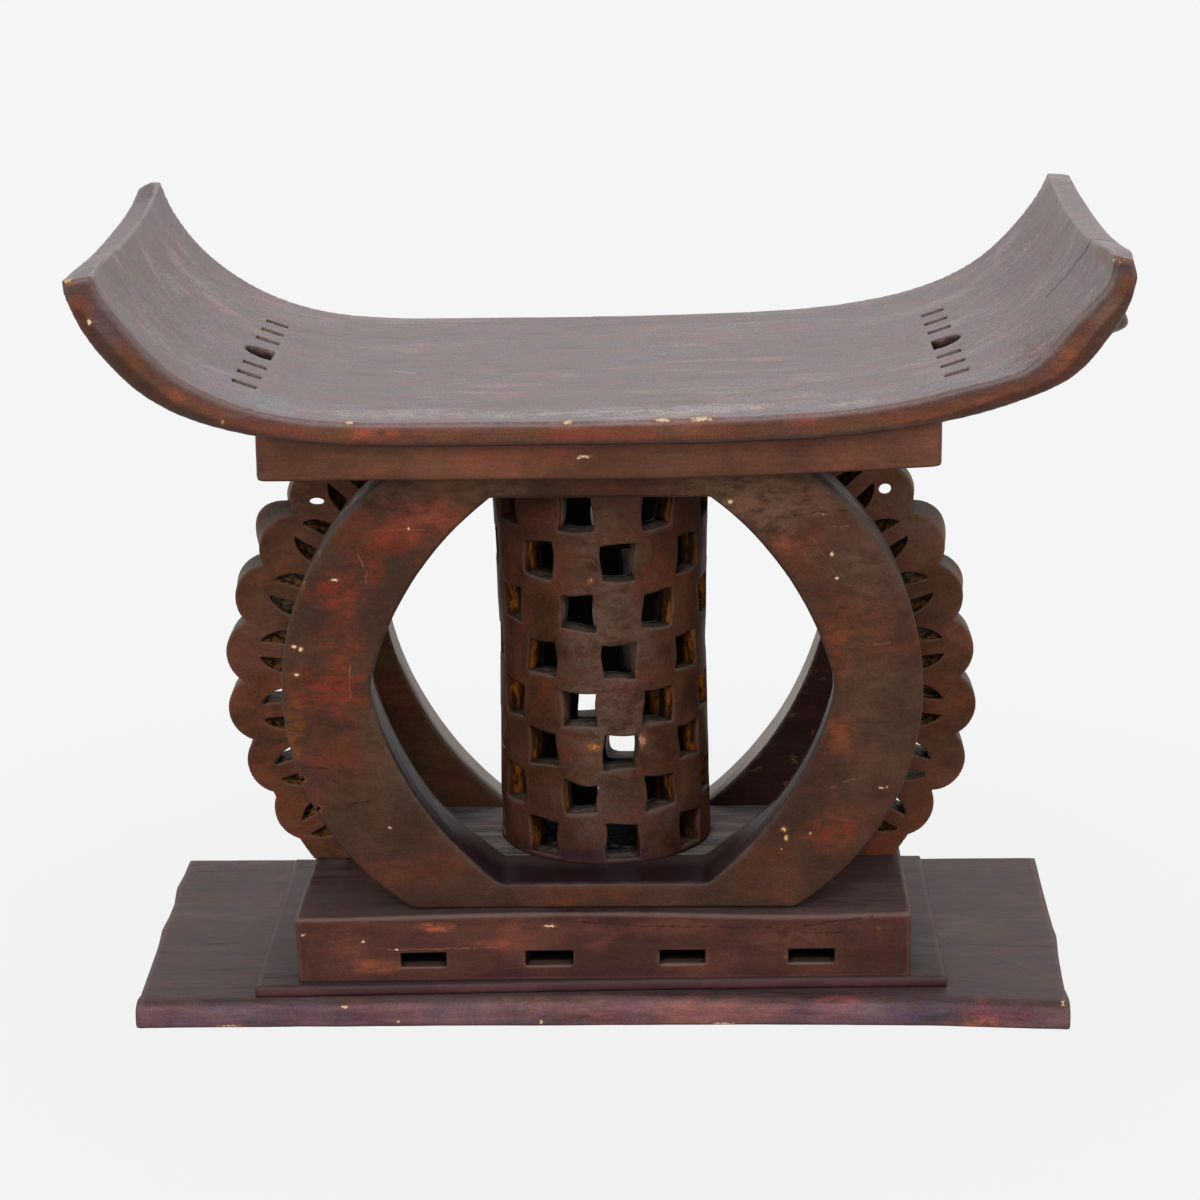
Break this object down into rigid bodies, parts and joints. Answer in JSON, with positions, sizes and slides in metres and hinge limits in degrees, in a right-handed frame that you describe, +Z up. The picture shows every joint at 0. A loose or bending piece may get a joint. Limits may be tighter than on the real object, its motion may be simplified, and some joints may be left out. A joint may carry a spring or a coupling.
{
  "type": "carved saddle stool",
  "caption": "Saddle-seated wooden stool carried by a pierced round column between two open hoops, with lobed side panels, on a stepped base.",
  "frame": {"origin": "middle of the base board's underside, on the floor", "axes": "+X along the seat towards its right wing, +Y from the front to the back, +Z up"},
  "size_m": [0.6121, 0.321, 0.4804],
  "materials": {
    "base_wood": "worn dark stain",
    "step_wood": "worn dark stain",
    "plinth_wood": "worn dark stain",
    "pad_wood": "worn dark stain",
    "hoop_wood": "red-brown stain, rubbed",
    "column_wood": "red-brown stain",
    "panel_wood": "red-brown stain",
    "block_wood": "red-brown stain",
    "seat_wood": "satin, polished by use",
    "dowel_wood": "bare wood"
  },
  "bodies": {
    "root": {"base_board": "base_wood", "step_board": "step_wood", "plinth": "plinth_wood", "floor_pad": "pad_wood", "front_hoop": "hoop_wood", "back_hoop": "hoop_wood", "pierced_column": "column_wood", "left_scallop_panel": "panel_wood", "right_scallop_panel": "panel_wood", "seat_block": "block_wood", "seat": "seat_wood", "base_dowels": "dowel_wood", "pad_dowels": "dowel_wood", "column_dowels": "dowel_wood", "seat_dowels": "dowel_wood"}
  },
  "joints": []
}
